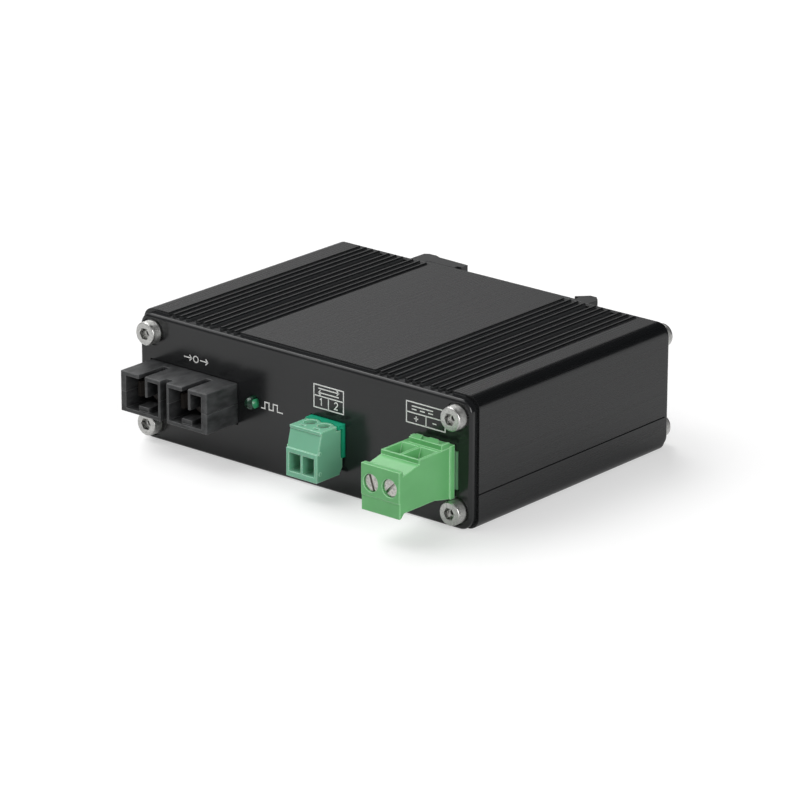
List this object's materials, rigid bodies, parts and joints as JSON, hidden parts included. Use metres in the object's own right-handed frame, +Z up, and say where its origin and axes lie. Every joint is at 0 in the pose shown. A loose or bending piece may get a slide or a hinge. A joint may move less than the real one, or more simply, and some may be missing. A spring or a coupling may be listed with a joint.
{
  "type": "fibre media converter",
  "caption": "Flat ribbed aluminium box with end panels, duplex fibre receptacle, lamp, pull-off data and power screw terminals, and a rail clip at the rear.",
  "frame": {"origin": "middle of the case's underside", "axes": "+X to the right along the front panel, +Y from the front panel to the rail clip, +Z up"},
  "size_m": [0.0954, 0.0964, 0.0296],
  "materials": {
    "case": "black anodised, brushed along the extrusion",
    "screw_steel": "bright zinc",
    "black_plastic": "satin moulding",
    "teal_plastic": "satin moulding",
    "header_teal": "satin moulding",
    "green_plastic": "satin moulding",
    "header_green": "satin moulding",
    "terminal_steel": "nickel plated",
    "contact_tin": "tin plated",
    "led": "tinted clear",
    "board": "solder mask",
    "chip": "moulded package",
    "ceramic_tan": "matt",
    "can": "bare",
    "spring_steel": "bright",
    "ferrule_holder": "satin moulding",
    "fuse": "satin dip"
  },
  "bodies": {
    "case": {"upper_shell": "case", "lower_shell": "case", "front_panel": "case", "rear_panel": "case", "front_panel_screws": "screw_steel", "rear_panel_screws": "screw_steel", "circuit_board": "board", "transceiver_upper_housing": "black_plastic", "transceiver_lower_housing": "black_plastic", "ferrule_holders": "ferrule_holder", "transceiver_optics": "can", "transceiver_board": "board", "transceiver_pins": "contact_tin", "led_lens": "led", "led_holder": "black_plastic", "led_leads": "contact_tin", "data_header": "header_teal", "data_header_pins": "contact_tin", "power_header": "header_green", "power_header_pins": "contact_tin", "din_clip_base": "black_plastic", "din_spring": "spring_steel", "din_clip_screws": "screw_steel", "isolated_converter": "chip", "power_inductor": "chip", "electrolytic_capacitors": "can", "voltage_regulator": "chip", "resettable_fuse": "fuse", "interface_chips": "chip", "optocouplers": "chip", "controller_chip": "chip", "chip_legs": "contact_tin", "quartz_crystal": "can", "surge_diodes": "chip", "chip_resistors": "ceramic_tan", "chip_capacitors": "ceramic_tan"},
    "data_plug": {"data_plug_body": "teal_plastic", "data_plug_contacts": "contact_tin"},
    "power_plug": {"power_plug_body": "green_plastic", "power_plug_contacts": "contact_tin"},
    "din_latch": {"din_latch": "black_plastic"},
    "data_screw_1": {"data_screw_1": "terminal_steel"},
    "data_clamp_1": {"data_clamp_1": "terminal_steel"},
    "power_screw_1": {"power_screw_1": "terminal_steel"},
    "power_clamp_1": {"power_clamp_1": "terminal_steel"},
    "data_screw_2": {"data_screw_2": "terminal_steel"},
    "data_clamp_2": {"data_clamp_2": "terminal_steel"},
    "power_screw_2": {"power_screw_2": "terminal_steel"},
    "power_clamp_2": {"power_clamp_2": "terminal_steel"}
  },
  "joints": [
    {"name": "data_plug_pull", "type": "slide", "parent": "case", "child": "data_plug", "axis": [0, -1, 0], "range_m": [0, 0.009]},
    {"name": "power_plug_pull", "type": "slide", "parent": "case", "child": "power_plug", "axis": [0, -1, 0], "range_m": [0, 0.01]},
    {"name": "data_screw_1_turn", "type": "hinge", "parent": "data_plug", "child": "data_screw_1", "pos_m": [0.00575, -0.0379, 0.012], "axis": [0, 0, -1], "range_deg": [0, 1950]},
    {"name": "data_clamp_1_lift", "type": "slide", "parent": "data_plug", "child": "data_clamp_1", "axis": [0, 0, 1], "range_m": [0, 0.00216]},
    {"name": "power_screw_1_turn", "type": "hinge", "parent": "power_plug", "child": "power_screw_1", "pos_m": [0.03486, -0.0484, 0.0133], "axis": [0, 1, 0], "range_deg": [0, 1842]},
    {"name": "power_clamp_1_draw", "type": "slide", "parent": "power_plug", "child": "power_clamp_1", "axis": [0, -1, 0], "range_m": [0, 0.00255]},
    {"name": "data_screw_2_turn", "type": "hinge", "parent": "data_plug", "child": "data_screw_2", "pos_m": [0.00955, -0.0379, 0.012], "axis": [0, 0, -1], "range_deg": [0, 1950]},
    {"name": "data_clamp_2_lift", "type": "slide", "parent": "data_plug", "child": "data_clamp_2", "axis": [0, 0, 1], "range_m": [0, 0.00216]},
    {"name": "power_screw_2_turn", "type": "hinge", "parent": "power_plug", "child": "power_screw_2", "pos_m": [0.03994, -0.0484, 0.0133], "axis": [0, 1, 0], "range_deg": [0, 1842]},
    {"name": "power_clamp_2_draw", "type": "slide", "parent": "power_plug", "child": "power_clamp_2", "axis": [0, -1, 0], "range_m": [0, 0.00255]},
    {"name": "din_latch_slide", "type": "slide", "parent": "case", "child": "din_latch", "axis": [-1, 0, 0], "range_m": [0, 0.0025], "stiffness_N_per_m": 3400, "springref_m": -0.0015, "deforming": ["din_spring"]}
  ],
  "couplings": [
    {"joint": "data_screw_1_turn", "follows": "data_clamp_1_lift", "rad_per_m": 15708},
    {"joint": "power_screw_1_turn", "follows": "power_clamp_1_draw", "rad_per_m": 12566},
    {"joint": "data_screw_2_turn", "follows": "data_clamp_2_lift", "rad_per_m": 15708},
    {"joint": "power_screw_2_turn", "follows": "power_clamp_2_draw", "rad_per_m": 12566}
  ]
}
